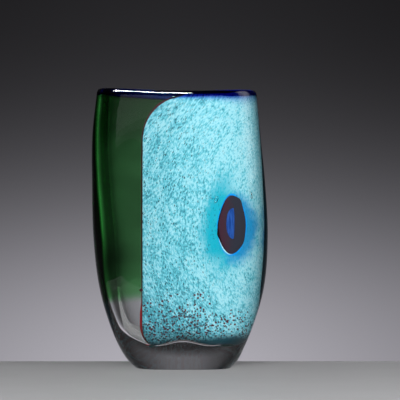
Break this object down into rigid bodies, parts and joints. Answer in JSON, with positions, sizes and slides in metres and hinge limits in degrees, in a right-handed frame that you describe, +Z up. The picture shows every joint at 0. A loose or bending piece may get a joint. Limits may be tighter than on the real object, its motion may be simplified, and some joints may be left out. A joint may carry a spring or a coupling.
{
  "type": "hand blown art glass vase",
  "caption": "Tall flattened oval vase of thick clear glass over a green and a turquoise overlay, with an eye-shaped inlay and a cobalt lip.",
  "frame": {"origin": "middle of the foot's underside, on the surface that the vase stands on", "axes": "+Z up, +X along the long side of the oval towards the turquoise end, and the side with the eye faces -Y"},
  "size_m": [0.1891, 0.1048, 0.3003],
  "materials": {
    "clear_glass": "fire polished clear",
    "green_glass": "transparent green",
    "red_glass": "opaque red",
    "turquoise_glass": "opaque crushed turquoise and white",
    "azure_glass": "opaque azure",
    "aubergine_glass": "opaque dark aubergine",
    "cobalt_core_glass": "opaque cobalt",
    "cobalt_lip_glass": "transparent cobalt, fire polished"
  },
  "bodies": {
    "root": {"clear_casing": "clear_glass", "inner_bubble": "clear_glass", "green_overlay": "green_glass", "red_underlay": "red_glass", "turquoise_overlay": "turquoise_glass", "eye_halo": "azure_glass", "eye_ring": "aubergine_glass", "eye_pupil": "cobalt_core_glass", "lip_wrap": "cobalt_lip_glass"}
  },
  "joints": []
}
